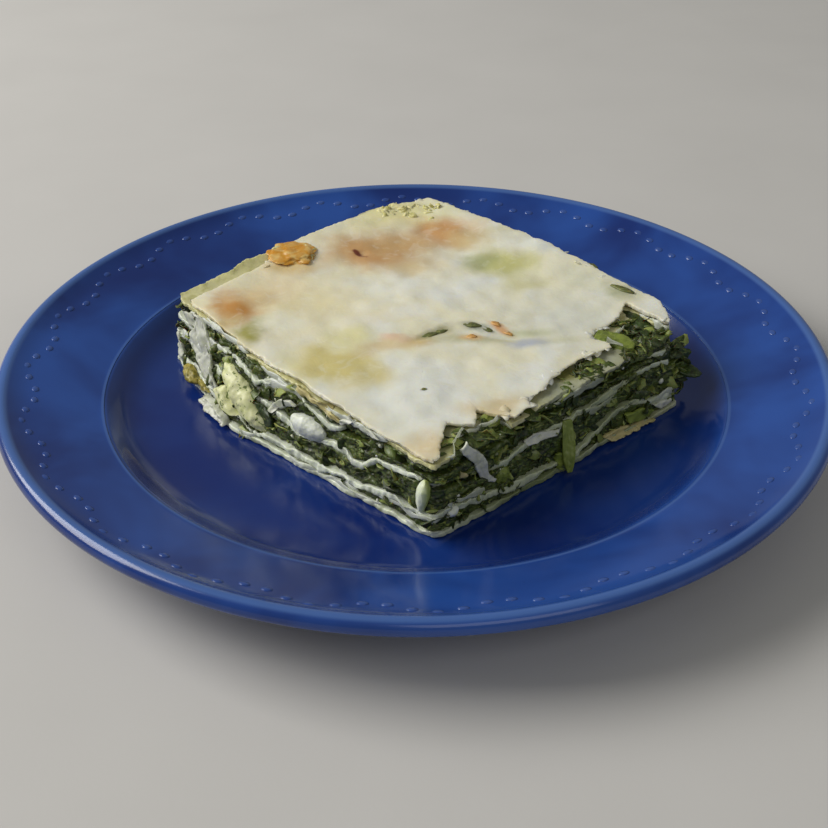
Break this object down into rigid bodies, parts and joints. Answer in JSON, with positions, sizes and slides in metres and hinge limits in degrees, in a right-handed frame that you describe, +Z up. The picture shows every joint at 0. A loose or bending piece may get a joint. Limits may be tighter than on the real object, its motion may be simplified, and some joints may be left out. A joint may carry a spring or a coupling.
{
  "type": "plate of spinach pie",
  "caption": "Square slice of layered spinach pie, leaning out a little at one side, resting in the well of a round glazed dinner plate with a beaded rim.",
  "frame": {"origin": "centre of the plate's foot ring on the surface it stands on", "axes": "+Z up, -Y towards the slice's sharp front corner, +X to its right"},
  "size_m": [0.27, 0.27, 0.0387],
  "materials": {
    "blue_glaze": "deep cobalt glaze, glossy, a little thicker and lighter at the rim",
    "crust": "baked sheet pastry, satin, cream with browned and oily patches",
    "pastry": "soft cooked sheet pastry, satin, off-white",
    "oiled_pastry": "sheet pastry soaked in oil, satin, yellow-green",
    "spinach": "chopped cooked spinach, wet and crumpled",
    "white_cheese": "fresh white cheese, moist",
    "egg": "set egg and cheese, pale yellow, moist",
    "browned_pastry": "browned crumb of pastry, matt",
    "leek": "cooked leek, white turning green, moist",
    "stem": "cooked stem, olive green, moist",
    "leaf": "cooked spinach leaf, dark green, wet"
  },
  "bodies": {
    "root": {"plate": "blue_glaze", "base_pastry": "pastry", "spinach_seam": "spinach", "pastry_sheet_1": "pastry", "spinach_lower": "spinach", "pastry_sheet_2": "pastry", "spinach_middle": "spinach", "pastry_sheet_3": "pastry", "spinach_upper": "spinach", "pastry_sheet_4": "oiled_pastry", "top_crust": "crust", "cheese_lump": "white_cheese", "egg_piece": "egg", "golden_crumb": "browned_pastry", "leek_slice": "leek", "cheese_crumb": "white_cheese", "stem_bud": "stem", "pastry_drape": "pastry", "pastry_strip": "pastry", "stem_hanging": "stem", "stem_on_top": "stem", "leaf_on_top": "leaf", "leaf_at_right": "leaf"}
  },
  "joints": []
}
